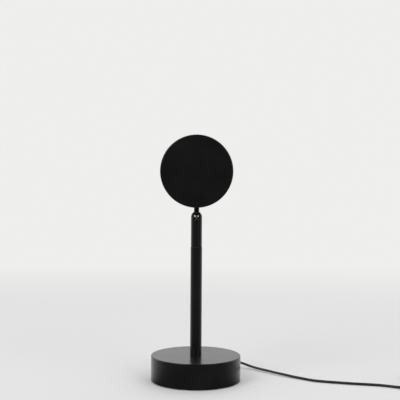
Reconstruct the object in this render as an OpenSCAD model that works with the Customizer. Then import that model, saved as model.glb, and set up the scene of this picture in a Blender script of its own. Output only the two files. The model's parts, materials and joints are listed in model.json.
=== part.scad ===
// Sunset projection lamp: a drum head on a ball joint, a swivel barrel, a pole and a round weighted base.
// Millimetres, +Z up. The origin is the middle of the foot pad's underside, and the head aims along +Y.

/* [Base] */
// Outside diameter of the base
base_d = 90; // [84:1:110]
// Height of the base shell
base_h = 24.5; // [24:0.5:30]
// Thickness of the shell's side wall
base_wall = 2; // [1.6:0.1:2.4]
// Thickness of the shell's top
base_top_t = 2.2; // [1.8:0.1:2.6]
// Radius of the rounded top edge
base_edge_r = 0.8; // [0.4:0.1:1.4]
// Gap between the shell's rim and the table
foot_proud = 1; // [0.5:0.1:1.5]
// Thickness of the foot pad
foot_t = 2; // [1.6:0.1:2.2]
// Gap round the foot pad, inside the rim
foot_gap = 1; // [0.5:0.1:2]
// Thickness of the bottom plate
plate_t = 1.5; // [1.4:0.1:1.7]
// Thickness of the cast ballast disc
ballast_t = 10; // [8:0.5:10.5]
// Gap between the ballast disc and the side wall
ballast_gap = 1; // [0.5:0.1:2]
// Depth of the recess for the nut under the ballast disc
recess_depth = 5; // [4:0.5:6]
// Diameter of that recess
recess_d = 20; // [17:0.5:24]
// Diameter of the bosses that the bottom plate is screwed to
boss_d = 8; // [6:0.5:10]
// Distance of those bosses from the axis
boss_r = 32; // [26:0.5:34]
// Number of bosses and plate screws
boss_count = 3; // [3:1:4]

/* [Pole] */
// Outside diameter of the pole
pole_d = 11.6; // [10.6:0.1:14]
// Wall of the pole tube
pole_wall = 1.45; // [1.3:0.05:1.5]
// Length of the pole tube
pole_len = 108.5; // [80:0.5:200]
// Bore of the threaded nipple that holds the pole
nipple_bore_d = 4.5; // [3.5:0.1:5]
// How far the nipple reaches into the pole
nipple_grip = 12; // [8:0.5:20]
// How far the nipple stands out of its nut
nipple_proud = 1; // [0.5:0.1:1.5]
// Size across the flats of the nipple's nut
nut_af = 13; // [12:0.5:14]
// Thickness of that nut
nut_t = 3.5; // [3:0.1:4]
// Thickness of the lock washer above it
lock_washer_t = 1.2; // [0.8:0.1:1.5]
// Diameter of the lead inside the pole
lead_d = 2.2; // [1.8:0.1:2.4]

/* [Swivel] */
// Outside diameter of the swivel barrel
barrel_d = 11.1; // [10:0.1:12]
// Wall of the swivel barrel
barrel_wall = 0.9; // [0.8:0.05:0.95]
// From the barrel's lower end to the middle of the ball
barrel_len = 30; // [27:0.5:40]
// Thickness of the slip washer at the seam
slip_washer_t = 0.4; // [0.3:0.1:0.8]
// Length of the threaded bush in the top of the pole
bush_len = 10; // [8.5:0.5:16]
// Shank diameter of the hollow swivel screw
swivel_d = 4.4; // [4.2:0.1:4.6]
// Bore of the hollow swivel screw
swivel_bore_d = 2.8; // [2.6:0.1:3]
// Head diameter of the swivel screw
swivel_head_d = 6.6; // [6:0.1:6.8]
// Head height of the swivel screw
swivel_head_t = 1.6; // [1.2:0.1:2.2]
// How far the swivel screw reaches into the bush
swivel_grip = 8; // [5:0.5:8]
// Thickness of the wave washer under that head
wave_washer_t = 0.4; // [0.3:0.1:0.6]
// Height of the threaded plug in the barrel's lower end
plug_h = 11; // [8:0.5:12]
// Thickness of the web in that plug
plug_web_t = 3.4; // [2.6:0.1:4]
// Half of the swivel's whole turn, in degrees
pan_limit = 165; // [120:5:165]
// Diameter of the stop pin
stop_pin_d = 0.8; // [0.6:0.1:0.8]
// Distance of the stop pin from the axis
stop_pin_r = 3.25; // [3.15:0.05:3.3]
// How far the stop pin reaches into its groove
stop_pin_reach = 0.8; // [0.5:0.1:1.2]

/* [Ball joint] */
// Diameter of the ball's hollow neck
neck_d = 5.2; // [4.4:0.1:5.2]
// Gap on each side of the neck in its slot
slot_gap = 0.2; // [0.1:0.05:0.3]
// From the middle of the ball to the underside of the head
neck_len = 9.85; // [8:0.05:16]
// Diameter of the thread on the neck's upper end
stud_d = 4; // [3.6:0.1:4.2]
// Bore through the ball and its neck
stud_bore_d = 2.4; // [2.2:0.1:2.6]
// Diameter of the lead inside the neck
stud_lead_d = 2; // [1.4:0.1:2]
// Height of the ball seat
seat_h = 4.6; // [3:0.2:6]
// Bore of the ball seat
seat_bore_d = 3.2; // [2.8:0.1:3.6]
// Thickness of the washer under the seat spring
spring_washer_t = 0.6; // [0.4:0.1:1]
// Wire diameter of the seat spring
spring_wire_d = 0.7; // [0.5:0.05:0.8]
// Turns of the seat spring
spring_turns = 6; // [4:1:6]
// Size across the flats of the nut on the neck
stud_nut_af = 7; // [6.5:0.5:8]
// Thickness of that nut
stud_nut_t = 3.2; // [2.4:0.1:4]
// Thickness of the washer under it
stud_washer_t = 0.8; // [0.5:0.1:1.2]

/* [Head shell] */
// Outside diameter of the head
head_d = 71; // [68:0.5:80]
// Length of the head
head_len = 60; // [58:0.5:70]
// Wall of the head shell
head_wall = 2; // [1.6:0.1:2.4]
// Thickness of the rear cover
cover_t = 3; // [2.5:0.1:4]
// Radius of the rear cover's rounded edge
cover_edge_r = 1.2; // [0.6:0.1:2]
// Thickness of the bezel's front flange
bezel_t = 4; // [3:0.5:5]
// Chamfer on the edges where the rear cover and the bezel meet the shell
seam_chamfer = 0.4; // [0.2:0.1:0.5]
// Wall of the rear cover's threaded spigot
spigot_wall = 2; // [1.6:0.1:2.4]
// Number of cooling grooves round the rear of the shell
groove_count = 3; // [1:1:4]
// Width of a cooling groove
groove_w = 1.6; // [1:0.1:2]
// Depth of a cooling groove
groove_depth = 0.8; // [0.4:0.1:1]
// Distance between neighbouring cooling grooves
groove_pitch = 4; // [3:0.5:4]
// Diameter of the flat boss for the neck's nut
neck_boss_d = 12; // [10:0.5:14]
// Height of that boss above the inside of the wall
neck_boss_h = 2; // [1.5:0.1:3]
// Height of the shoulders inside the shell
shoulder_h = 2.5; // [2:0.1:3]
// Length of the shoulders inside the shell
shoulder_len = 1.8; // [1.4:0.1:2.2]

/* [Light source] */
// From the head's rear face to the shoulder that the heat sink seats against
sink_depth = 19; // [18:0.5:21]
// Thickness of the heat sink's plate
sink_t = 4; // [3:0.5:5]
// Height of the heat sink's fins
fin_h = 9; // [6:0.5:10]
// Thickness of a fin
fin_t = 1.6; // [1:0.1:2]
// Distance between neighbouring fins
fin_pitch = 7; // [5:0.5:8]
// Number of fins
fin_count = 7; // [3:2:7]
// Diameter of the raised pad that carries the board
pad_d = 32; // [31:0.5:36]
// Height of that pad
pad_h = 3; // [2:0.5:4]
// Diameter of the light source board
board_d = 26; // [24:0.5:27]
// Thickness of the light source board
board_t = 1.6; // [1:0.1:2]
// Distance of the board's screws from the axis
board_screw_r = 9.5; // [9:0.1:10]
// Side of the square light source
emitter_side = 7; // [5:0.5:8]
// Height of its square base
emitter_t = 1; // [0.6:0.1:1.4]
// Radius of its clear dome
emitter_dome_r = 2.4; // [1.6:0.1:2.4]
// Diameter of the wire inside the head
head_lead_d = 1.8; // [1.2:0.1:1.8]

/* [Optics] */
// From the head's front face to the shoulder that the light baffle seats against
optics_depth = 19; // [18:0.5:21]
// Diameter of the condenser lens
condenser_d = 20; // [18:0.5:22]
// Thickness of the condenser lens at its rim
condenser_rim_t = 2; // [1.5:0.1:2.5]
// Height of the condenser lens's dome
condenser_dome_h = 5; // [4:0.5:5]
// Wall of the condenser holder round the board
holder_wall = 1.5; // [1.2:0.1:1.5]
// From the board's pad to the condenser lens
condenser_gap = 8; // [7.5:0.5:9]
// Width of the ledge under the condenser lens
ledge_w = 1.4; // [1:0.1:2]
// Thickness of the colour filter
filter_t = 1; // [0.6:0.1:1.2]
// Width of the ledge that carries the colour filter
filter_ledge_w = 3; // [2:0.1:3]
// Wall of the light baffle
baffle_wall = 1.2; // [1:0.1:1.5]
// Thickness of the baffle's front flange
baffle_flange_t = 1.2; // [1:0.1:1.6]
// Thickness of the silicone gasket
gasket_t = 0.8; // [0.5:0.1:1.2]
// Diameter of the front lens
lens_d = 60; // [58:0.5:61]
// Thickness of the front lens at its rim
lens_rim_t = 3; // [2:0.2:4]
// Height of the front lens's dome
lens_dome_h = 8; // [6:0.5:8.5]
// Width of the lip that holds the front lens
lens_lip_w = 2; // [1.5:0.1:2.5]
// Thickness of that lip
lens_lip_t = 2; // [1.5:0.1:2.5]

/* [Cable] */
// Diameter of the cable
cord_d = 2.6; // [2.4:0.1:3]
// Diameter of the strain relief in the wall
gland_d = 6.8; // [6:0.2:7]
// Number of grooves round the strain relief
gland_groove_count = 3; // [2:1:4]
// Width of a groove round the strain relief
gland_groove_w = 1; // [0.8:0.1:1.2]
// Depth of a groove round the strain relief
gland_groove_depth = 0.4; // [0.2:0.1:0.5]
// Thickness of the clamp bar inside the base
clamp_t = 1.6; // [1.2:0.1:1.8]
// Length of the clamp bar
clamp_len = 16; // [14:0.5:18]
// Width of the clamp bar
clamp_w = 6; // [5:0.5:7]
// Distance of the clamp bar from the axis
clamp_r = 33; // [31:0.5:35]

/* [Switch] */
// Width of the switch at its middle
switch_w = 20; // [18:0.5:22]
// Width of the switch at its ends
switch_end_w = 11; // [9:0.5:13]
// Height of the switch
switch_h = 13; // [12.6:0.2:15]
// Wall of the switch's shells
switch_wall = 1.5; // [1.2:0.1:1.8]
// Diameter of the button
button_d = 9; // [8:0.5:10]
// How far the button stands out
button_proud = 2.4; // [2:0.1:3]
// Travel of the button
button_travel = 1.5; // [1:0.1:1.5]

/* [Plug] */
// Length of the plug's moulded body
plug_body_len = 22; // [18:1:26]
// Width of the moulded body
plug_body_w = 16; // [14:0.5:18]
// Height of the moulded body
plug_body_h = 8; // [7:0.5:8]

/* [Hidden] */
$fn = 64;

// Clearances: a thread in its hole, a turning fit, a screw's clearance hole and a loose seat
thread_play = 0.05;
turn_play = 0.05;
hole_play = 0.1;
seat_play = 0.1;
// Play of the ball in its socket
ball_play = 0.08;
// Overrun of a cut past the face that it opens, and of one shape into another that it joins
cut = 1;

// Colours
black_paint = [0.05, 0.05, 0.055];
black_rubber = [0.09, 0.09, 0.09];
black_plastic = [0.07, 0.07, 0.075];
steel = [0.72, 0.72, 0.74];
dark_steel = [0.45, 0.46, 0.48];
iron = [0.3, 0.3, 0.31];
brass = [0.8, 0.64, 0.3];
aluminium = [0.78, 0.79, 0.8];
nylon = [0.9, 0.9, 0.86];
clear = [0.85, 0.92, 0.95];
amber = [0.95, 0.5, 0.12];

// Heights in the base
rim_z = foot_proud;
base_top_z = rim_z + base_h;
plate_z = foot_t;
plate_top_z = plate_z + plate_t;
ceiling_z = base_top_z - base_top_t;
ballast_z = ceiling_z - ballast_t;
washer_top_z = ballast_z + recess_depth;
nut_top_z = washer_top_z - lock_washer_t;
nut_z = nut_top_z - nut_t;
nipple_z = nut_z - nipple_proud;
base_in_r = base_d / 2 - base_wall;
plate_screw_d = 3;
plate_screw_head_d = 5.6;
plate_screw_head_t = 1.2;
plate_screw_grip = 6;
cord_r = cord_d / 2;
washer_split_w = 1;

// The cable leaves the base along this level direction, and the bosses lie off its line
exit_dir = [0.6, 0.8, 0];
cord_z = 8;
gland_len = 10;
exit_angle = atan2(exit_dir.y, exit_dir.x);
boss_start = exit_angle + 180 / boss_count;
flange_r = 4.2;
flange_t = 1.5;
flange_gap = 0.02;
flange_face = sqrt(pow(base_in_r, 2) - pow(flange_r, 2)) - flange_gap;
gland_tip = base_d / 2 + gland_len;
gland_tip_r = 2;
gland_collar_r = 4;
gland_collar_t = 1.6;
gland_step = 0.4;
inner_cord_start = 22;
sleeve_d = 5;
sleeve_start = 8;
clamp_screw_d = 2.2;
clamp_screw_head_d = 4;
clamp_screw_head_t = 0.9;
clamp_screw_grip = 3;
clamp_play = 0.05;
clamp_top_z = cord_z - cord_r - clamp_play;
clamp_rib_z = cord_z + cord_r + clamp_play;
clamp_screw_margin = 0.5;
clamp_screw_off = clamp_len / 2 - clamp_screw_head_d / 2 - clamp_screw_margin;
// A blind screw hole is this much deeper than its screw
blind_gap = 1;

// Pole and swivel
pole_in_r = pole_d / 2 - pole_wall;
nipple_r = pole_in_r - thread_play;
nipple_top_z = base_top_z + nipple_grip;
pole_top_z = base_top_z + pole_len;
lead_bend_r = nipple_z - cord_z;
barrel_r = barrel_d / 2;
barrel_in_r = barrel_r - barrel_wall;
barrel_z = pole_top_z + slip_washer_t + turn_play;
ball_z = barrel_z + barrel_len;
ball_r = barrel_in_r - ball_play;
bush_r = pole_in_r - thread_play;
web_top_z = barrel_z + plug_web_t;
wave_washer_z = web_top_z + turn_play;
swivel_head_z = wave_washer_z + wave_washer_t;
plug_r = barrel_in_r - thread_play;
plug_top_z = barrel_z + plug_h;
cavity_gap = 0.25;
plug_cavity_r = swivel_head_d / 2 + cavity_gap;
stop_groove_w = stop_pin_d + 2 * hole_play;
stop_floor_gap = 0.4;
stop_groove_h = stop_pin_reach + stop_floor_gap;
stop_pin_foot_z = pole_top_z - bush_len / 2;
// Half the angle of the wall left in the stop groove: the pin all but meets it at the swivel's limit
stop_near = 1;
stop_wall_angle = 180 - pan_limit - asin(stop_pin_d / 2 / stop_pin_r) - stop_near;
lead_gap = 0.3;
lead_top_z = ball_z - ball_r - lead_gap;

// Ball, seat and spring
slot_w = neck_d + 2 * slot_gap;
seat_r = barrel_in_r - seat_play;
// The seat's rim stays below the neck when that lies level
neck_gap = 0.4;
seat_top_z = ball_z - neck_d / 2 - neck_gap;
seat_z = seat_top_z - seat_h;
spring_z = plug_top_z + spring_washer_t;
spring_gap = 0.3;
spring_r = seat_r - spring_wire_d / 2 - spring_gap;
spring_steps = 8;
lead_slack = 0.4;
washer_bore_r = lead_d / 2 + lead_slack;
flare_r = 2.6;
flare_h = 2.2;

// Head: distances along its axis are counted from the neck, positive towards the lens
head_r = head_d / 2;
head_in_r = head_r - head_wall;
head_bottom_z = ball_z + neck_len;
head_z = head_bottom_z + head_r;
head_rear = -head_len / 2;
head_front = head_len / 2;
shell_rear = head_rear + cover_t;
shell_front = head_front - bezel_t;
spigot_r = head_in_r - thread_play;
spot_depth = 0.3;
neck_top_z = head_bottom_z + spot_depth - turn_play;
boss_top_z = head_bottom_z + head_wall + neck_boss_h;
stud_washer_z = boss_top_z + turn_play;
stud_nut_z = stud_washer_z + stud_washer_t;
stud_proud = 1.15;
stud_top_z = stud_nut_z + stud_nut_t + stud_proud;
washer_rim = 0.5;
boss_sink = 0.5;

// Light source and optics, along the head's axis
rear_shoulder = head_rear + sink_depth;
sink_rear = rear_shoulder - sink_t;
board_rear = rear_shoulder + pad_h;
board_front = board_rear + board_t;
board_screw_d = 2.5;
board_screw_head_d = 4.2;
board_screw_head_t = 1.2;
board_screw_grip = 4;
fin_gap = 1;
resistor = [3.2, 1.6, 0.6];
resistor_x = 5;
resistor_edge = 3;
holder_in_r = board_d / 2 + seat_play;
holder_r = holder_in_r + holder_wall;
condenser_rear = board_rear + condenser_gap;
condenser_seat_t = 2;
filter_gap = 0.5;
filter_rear = condenser_rear + condenser_rim_t + condenser_dome_h + filter_gap;
filter_r = condenser_d / 2 + filter_ledge_w;
holder_front = filter_rear + filter_t;
notch_slack = 0.8;
front_shoulder = head_front - optics_depth;
baffle_front = front_shoulder + shoulder_len + baffle_flange_t;
baffle_throat_r = holder_r + seat_play;
baffle_collar_len = 4;
baffle_rear = holder_front - baffle_collar_len;
baffle_mouth_gap = 0.5;
baffle_mouth_r = lens_d / 2 - lens_lip_w - baffle_mouth_gap;
filter_hold = 0.5;
filter_hold_t = 0.4;
gasket_front = baffle_front + gasket_t;
lens_rear = gasket_front;
lens_rim_front = lens_rear + lens_rim_t;
lens_r = lens_d / 2;
lens_pocket_r = lens_r + seat_play;
lens_open_r = lens_r - lens_lip_w;
lens_lip_front = lens_rim_front + lens_lip_t;
bezel_flare = 0.6;

// Cable: the route's points from the strain relief to the switch
cord_route = [
    [33, 44, 8], [36, 48, 8], [39.5, 51.5, 7.8], [43.5, 54.5, 7], [48.5, 55.8, 5.6], [53.5, 54.8, 4.1],
    [58.5, 51.5, 2.9], [63, 47, 2.4], [67.5, 42, 2.3], [72, 36.8, 2.3], [77, 31.3, 2.3], [82, 25.8, 2.2],
    [87.5, 20.5, 2.1], [93, 15.5, 1.9], [98.5, 10.5, 1.7], [104, 6, 1.6], [109.5, 1.5, 1.5],
    [115, -2.8, 1.4], [121.5, -6.8, 1.4], [128.5, -9.3, 1.4], [135.5, -11.6, 1.4], [142.5, -13.6, 1.4],
    [149.5, -15.6, 1.4], [156.5, -17.5, 1.4], [163.5, -19, 1.4], [170.5, -20.5, 1.4], [177.5, -22.2, 1.4],
    [184.5, -24.7, 1.4], [191, -28, 1.4], [197, -31.6, 1.6], [202, -35, 2.4], [206, -37.5, 3.8],
    [209.5, -39.3, 5.2], [213, -40, 6], [216, -40, 6]
];

// Cable: the switch, the coil, its tie and the plug lie beyond the route's end
switch_x = 216;
switch_y = -40;
switch_z = 6;
switch_len = 52;
switch_mid = switch_x + switch_len / 2;
coil_z = 2.2;
coil_turns = 3.125;
coil_layers = 4;
coil_r = 20;
coil_gap = 0.45;
coil_pitch = cord_d + coil_gap;
coil_climb = 0.25;
coil_x = 294;
coil_y = switch_y + coil_r;
coil_steps = 24;
coil_end = 3;
coil_top_z = coil_z + (coil_layers - 1) * coil_pitch;
coil_in_r = coil_r - coil_turns * coil_pitch;
coil_total = coil_turns * coil_layers;
coil_path = concat(
    [[coil_x - coil_end, coil_y - coil_r, coil_z]],
    [for (i = [0 : coil_total * coil_steps]) coil_point(i / coil_steps)],
    [[coil_x - coil_end, coil_y + coil_r, coil_top_z]]
);
lead_route = [
    [268, -40, 6], [271, -40, 6], [275.5, -40, 5.1], [280, -40, 3.7], [284, -40, 2.6], [288, -40, 2.2],
    [291, -40, 2.2]
];
tail_route = [
    [291, 0, 11.35], [288, 0, 11.35], [283, 0.3, 10.6], [278, 1.1, 8.6], [273, 2.3, 6.2],
    [268, 3.7, 4.4], [262.5, 5.2, 3.7], [256, 6, 4], [252, 6, 4]
];
tie_t = 0.6;
tie_w = 4;
tie_gap = 0.3;
tie_angle = 20;
tie_buckle = [2.4, 5, 3.6];
tie_tail = 9;

// Switch: the join of its shells is at the cable's height, and the pressed button stays clear of its block
switch_screw_at = [15.5, 3.4];
switch_screw_d = 2.2;
switch_screw_head_d = 4;
switch_screw_head_t = 1.2;
switch_screw_sunk = 0.2;
switch_screw_grip = 1.6;
switch_post_d = 5;
switch_low_chamfer = 1;
switch_top_chamfer = 2;
switch_in_chamfer = 1.5;
switch_post_gap = 1.5;
button_collar = 0.9;
button_gap = 0.15;
button_stem = 3.2;
button_landing = 0.1;
button_round = 0.9;
contact_block = [14, 8.6];
contact_blade = [7, 3, 0.5];
contact_lift = 0.6;

// Plug: its metal shell, tongue and contacts have the sizes of the type A plug
plug_x = 252;
plug_y = 6;
plug_z = 4;
plug_relief_len = 6;
plug_shell_len = 12;
plug_shell_w = 12;
plug_shell_h = 4.5;
plug_shell_t = 0.3;
plug_socket_len = 6;
plug_round_r = 1.5;
plug_relief_d = 6.4;
plug_relief_wall = 0.6;
latch_hole = [2.5, 2.2];
latch_hole_x = 5;
latch_hole_y = 2.7;
tongue_t = 1.8;
tongue_start = 1;
plug_contact = [7, 1, 0.2];
plug_contact_pitch = 2.3;
plug_contact_start = 2;
plug_body_x1 = plug_x - plug_relief_len;
plug_body_x0 = plug_body_x1 - plug_body_len;
plug_tip_x = plug_body_x0 - plug_shell_len;
plug_floor_z = plug_z - plug_shell_h / 2 + plug_shell_t;

// ---------- Shapes ----------

// Round tube on the floor of its own frame
module tube(outer_r, inner_r, h) {
    difference() {
        cylinder(r = outer_r, h = h);
        translate([0, 0, -cut]) cylinder(r = inner_r, h = h + 2 * cut);
    }
}

// Points of an arc round a centre
function arc(centre, r, from, to, steps) = [
    for (i = [0 : steps])
        let (a = from + (to - from) * i / steps)
        [centre.x + r * cos(a), centre.y + r * sin(a)]
];

// Radius of the sphere whose cap has this height and this rim radius
function cap_r(rim_r, h) = (pow(rim_r, 2) + pow(h, 2)) / (2 * h);

function unit(v) = v / norm(v);
function route_dir(path, i) = unit(path[min(i + 1, len(path) - 1)] - path[max(i - 1, 0)]);
function route_len(path, i = 1) = i >= len(path) ? 0 : norm(path[i] - path[i - 1]) + route_len(path, i + 1);

// Flat-sided tube swept along a list of points, square to it at each one
module sweep(path, r, sides, side_ref = [0, 0, 1]) {
    n = len(path);
    rings = [
        for (i = [0 : n - 1])
            let (t = route_dir(path, i), s = unit(cross(t, side_ref)), u = cross(s, t))
            for (k = [0 : sides - 1])
                path[i] + r * (cos(360 * k / sides) * s + sin(360 * k / sides) * u)
    ];
    walls = [
        for (i = [0 : n - 2], k = [0 : sides - 1])
            let (
                a = i * sides + k,
                b = i * sides + (k + 1) % sides
            )
            each [[a, a + sides, b], [b, a + sides, b + sides]]
    ];
    first_cap = [for (k = [1 : sides - 2]) [0, k, k + 1]];
    last = (n - 1) * sides;
    last_cap = [for (k = [1 : sides - 2]) [last, last + k + 1, last + k]];
    polyhedron(points = rings, faces = concat(walls, first_cap, last_cap));
}

// Outline of the switch: a wide middle that narrows to round ends
function lozenge(length, mid_w, end_w, steps = 10) =
    let (
        mid_r = mid_w / 2,
        end_r = end_w / 2,
        reach = length / 2 - end_r,
        lean = acos((mid_r - end_r) / reach)
    )
    concat(
        arc([reach, 0], end_r, -lean, lean, steps),
        arc([0, 0], mid_r, lean, 180 - lean, steps),
        arc([-reach, 0], end_r, 180 - lean, 180 + lean, steps),
        arc([0, 0], mid_r, 180 + lean, 360 - lean, steps)
    );

// Places children on the head's axis, whose own +Z then points the way the lamp shines
module on_head(along = 0) {
    translate([0, along, head_z]) rotate([-90, 0, 0]) children();
}

// Places children on the cable's line out of the base, whose own +Z then points outwards
module on_exit(out = 0) {
    translate(out * exit_dir + [0, 0, cord_z]) rotate([0, 0, exit_angle]) rotate([0, 90, 0]) children();
}

module at_bosses() {
    for (i = [0 : boss_count - 1])
        rotate([0, 0, boss_start + i * 360 / boss_count]) translate([boss_r, 0, 0]) children();
}

module at_clamp_screws() {
    for (side = [-1, 1])
        rotate([0, 0, exit_angle]) translate([clamp_r, side * clamp_screw_off, 0]) children();
}

// ---------- Base ----------

module base_shell() {
    outer_r = base_d / 2;
    outline = concat(
        [[nipple_r + hole_play, ceiling_z], [base_in_r, ceiling_z], [base_in_r, rim_z], [outer_r, rim_z]],
        arc([outer_r - base_edge_r, base_top_z - base_edge_r], base_edge_r, 0, 90, 5),
        [[nipple_r + hole_play, base_top_z]]
    );
    color(black_paint) difference() {
        rotate_extrude() polygon(outline);
        on_exit(base_in_r - cut) cylinder(d = gland_d + 2 * thread_play, h = base_wall + 2 * cut);
    }
}

module ballast() {
    color(iron) difference() {
        union() {
            translate([0, 0, ballast_z]) cylinder(r = base_in_r - ballast_gap, h = ballast_t);
            at_bosses() translate([0, 0, plate_top_z])
                cylinder(d = boss_d, h = ballast_z - plate_top_z + cut);
            rotate([0, 0, exit_angle])
                translate([clamp_r - clamp_w / 2, -clamp_len / 2, clamp_rib_z])
                    cube([clamp_w, clamp_len, ballast_z - clamp_rib_z + cut]);
        }
        translate([0, 0, ballast_z - cut]) cylinder(r = nipple_r + 2 * hole_play, h = ballast_t + 2 * cut);
        translate([0, 0, ballast_z - cut]) cylinder(d = recess_d, h = recess_depth + cut);
        at_bosses() translate([0, 0, plate_top_z - cut])
            cylinder(d = plate_screw_d + 2 * thread_play, h = plate_screw_grip + blind_gap + cut);
        at_clamp_screws() translate([0, 0, clamp_rib_z - cut])
            cylinder(d = clamp_screw_d + 2 * thread_play, h = clamp_screw_grip + blind_gap + cut);
    }
}

module bottom_plate() {
    color(dark_steel) difference() {
        translate([0, 0, plate_z]) cylinder(r = base_in_r - seat_play, h = plate_t);
        at_bosses() translate([0, 0, plate_z - cut])
            cylinder(d = plate_screw_d + 2 * hole_play, h = plate_t + 2 * cut);
        at_bosses() translate([0, 0, plate_z])
            cylinder(d1 = plate_screw_head_d + 2 * hole_play, d2 = plate_screw_d + 2 * hole_play,
                h = plate_screw_head_t + hole_play);
    }
}

module bottom_plate_screws() {
    color(steel) at_bosses() {
        translate([0, 0, plate_z])
            cylinder(d1 = plate_screw_head_d, d2 = plate_screw_d, h = plate_screw_head_t);
        translate([0, 0, plate_z + plate_screw_head_t])
            cylinder(d = plate_screw_d, h = plate_t - plate_screw_head_t + plate_screw_grip);
    }
}

module foot_pad() {
    color(black_rubber) cylinder(r = base_in_r - foot_gap, h = foot_t);
}

module base_nipple() {
    color(brass) translate([0, 0, nipple_z]) tube(nipple_r, nipple_bore_d / 2, nipple_top_z - nipple_z);
}

module lock_washer() {
    color(steel) difference() {
        translate([0, 0, nut_top_z]) tube(nut_af / 2, nipple_r + hole_play, lock_washer_t);
        translate([0, -washer_split_w / 2, nut_top_z - cut])
            cube([nut_af, washer_split_w, lock_washer_t + 2 * cut]);
    }
}

module nipple_nut() {
    color(brass) translate([0, 0, nut_z]) difference() {
        cylinder(r = nut_af / sqrt(3), h = nut_t, $fn = 6);
        translate([0, 0, -cut]) cylinder(r = nipple_r + thread_play, h = nut_t + 2 * cut);
    }
}

module cord_clamp() {
    color(black_plastic) difference() {
        rotate([0, 0, exit_angle])
            translate([clamp_r - clamp_w / 2, -clamp_len / 2, clamp_top_z - clamp_t])
                cube([clamp_w, clamp_len, clamp_t]);
        at_clamp_screws() translate([0, 0, clamp_top_z - clamp_t - cut])
            cylinder(d = clamp_screw_d + 2 * hole_play, h = clamp_t + 2 * cut);
    }
}

module cord_clamp_screws() {
    color(steel) at_clamp_screws() {
        translate([0, 0, clamp_top_z - clamp_t - clamp_screw_head_t])
            cylinder(d = clamp_screw_head_d, h = clamp_screw_head_t);
        translate([0, 0, clamp_top_z - clamp_t])
            cylinder(d = clamp_screw_d, h = clamp_t + clamp_rib_z - clamp_top_z + clamp_screw_grip);
    }
}

module inner_cord() {
    color(black_rubber) on_exit(inner_cord_start) cylinder(r = cord_r, h = gland_tip - inner_cord_start);
}

module splice_sleeve() {
    color(black_plastic) on_exit(sleeve_start) cylinder(d = sleeve_d, h = inner_cord_start - sleeve_start);
}

// Up the middle of the pole, with a quarter bend towards the splice at its foot
module pole_lead() {
    color(black_rubber) {
        translate([0, 0, nipple_z]) cylinder(d = lead_d, h = lead_top_z - nipple_z);
        rotate([0, 0, exit_angle]) translate([lead_bend_r, 0, nipple_z]) rotate([-90, 0, 0])
            rotate_extrude(angle = 90, start = 90) translate([lead_bend_r, 0]) circle(d = lead_d);
        on_exit(lead_bend_r) cylinder(d = lead_d, h = sleeve_start - lead_bend_r);
    }
}

// ---------- Pole and swivel ----------

module pole_tube() {
    color(black_paint) translate([0, 0, base_top_z]) tube(pole_d / 2, pole_in_r, pole_len);
}

module pole_top_bush() {
    color(brass) difference() {
        translate([0, 0, pole_top_z - bush_len]) tube(bush_r, swivel_d / 2 + thread_play, bush_len);
        stop_pin_hole(stop_pin_foot_z, bush_len);
    }
}

module stop_pin_hole(z, h) {
    translate([0, stop_pin_r, z]) cylinder(d = stop_pin_d + 2 * thread_play, h = h);
}

module stop_pin() {
    color(steel) translate([0, stop_pin_r, stop_pin_foot_z])
        cylinder(d = stop_pin_d, h = barrel_z + stop_pin_reach - stop_pin_foot_z);
}

module slip_washer() {
    color(black_plastic) difference() {
        translate([0, 0, pole_top_z]) tube(barrel_r, swivel_d / 2 + hole_play, slip_washer_t);
        stop_pin_hole(pole_top_z - cut, slip_washer_t + 2 * cut);
    }
}

module swivel_screw() {
    shank_z = pole_top_z - swivel_grip;
    color(steel) difference() {
        union() {
            translate([0, 0, shank_z]) cylinder(d = swivel_d, h = swivel_head_z + cut - shank_z);
            translate([0, 0, swivel_head_z]) cylinder(d = swivel_head_d, h = swivel_head_t);
        }
        translate([0, 0, shank_z - cut])
            cylinder(d = swivel_bore_d, h = swivel_head_z + swivel_head_t - shank_z + 2 * cut);
    }
}

module wave_washer() {
    color(steel) translate([0, 0, wave_washer_z])
        tube(swivel_head_d / 2, swivel_d / 2 + hole_play, wave_washer_t);
}

// Thin tube whose top closes over the ball, with a keyhole opening for the neck towards -Y
module socket_barrel() {
    dome_end = 75;
    dome_steps = 12;
    profile = concat(
        [[barrel_in_r, barrel_z], [barrel_r, barrel_z]],
        arc([0, ball_z], barrel_r, 0, dome_end, dome_steps),
        arc([0, ball_z], barrel_in_r, dome_end, 0, dome_steps)
    );
    color(black_paint) difference() {
        rotate_extrude() polygon(profile);
        neck_slot();
    }
}

// Room for the neck from upright to level: a slot with a half-round back and a half-round lower end
module neck_slot() {
    r = slot_w / 2;
    reach = 2 * barrel_r;
    translate([0, 0, ball_z]) {
        linear_extrude(height = reach)
            polygon(concat(arc([0, 0], r, 0, 180, 12), [[-r, -reach], [r, -reach]]));
        rotate([90, 0, 0]) linear_extrude(height = reach)
            polygon(concat(arc([0, 0], r, 180, 360, 12), [[r, cut], [-r, cut]]));
    }
}

module barrel_plug() {
    groove_span = 360 - 2 * stop_wall_angle;
    color(brass) difference() {
        translate([0, 0, barrel_z]) cylinder(r = plug_r, h = plug_h);
        translate([0, 0, barrel_z - cut]) cylinder(r = swivel_d / 2 + turn_play, h = plug_web_t + 2 * cut);
        translate([0, 0, web_top_z]) cylinder(r = plug_cavity_r, h = plug_h);
        translate([0, 0, barrel_z - cut])
            rotate_extrude(angle = groove_span, start = stop_wall_angle - 90)
                translate([stop_pin_r - stop_groove_w / 2, 0]) square([stop_groove_w, stop_groove_h + cut]);
    }
}

module spring_washer() {
    color(steel) translate([0, 0, plug_top_z]) tube(seat_r, washer_bore_r, spring_washer_t);
}

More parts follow.
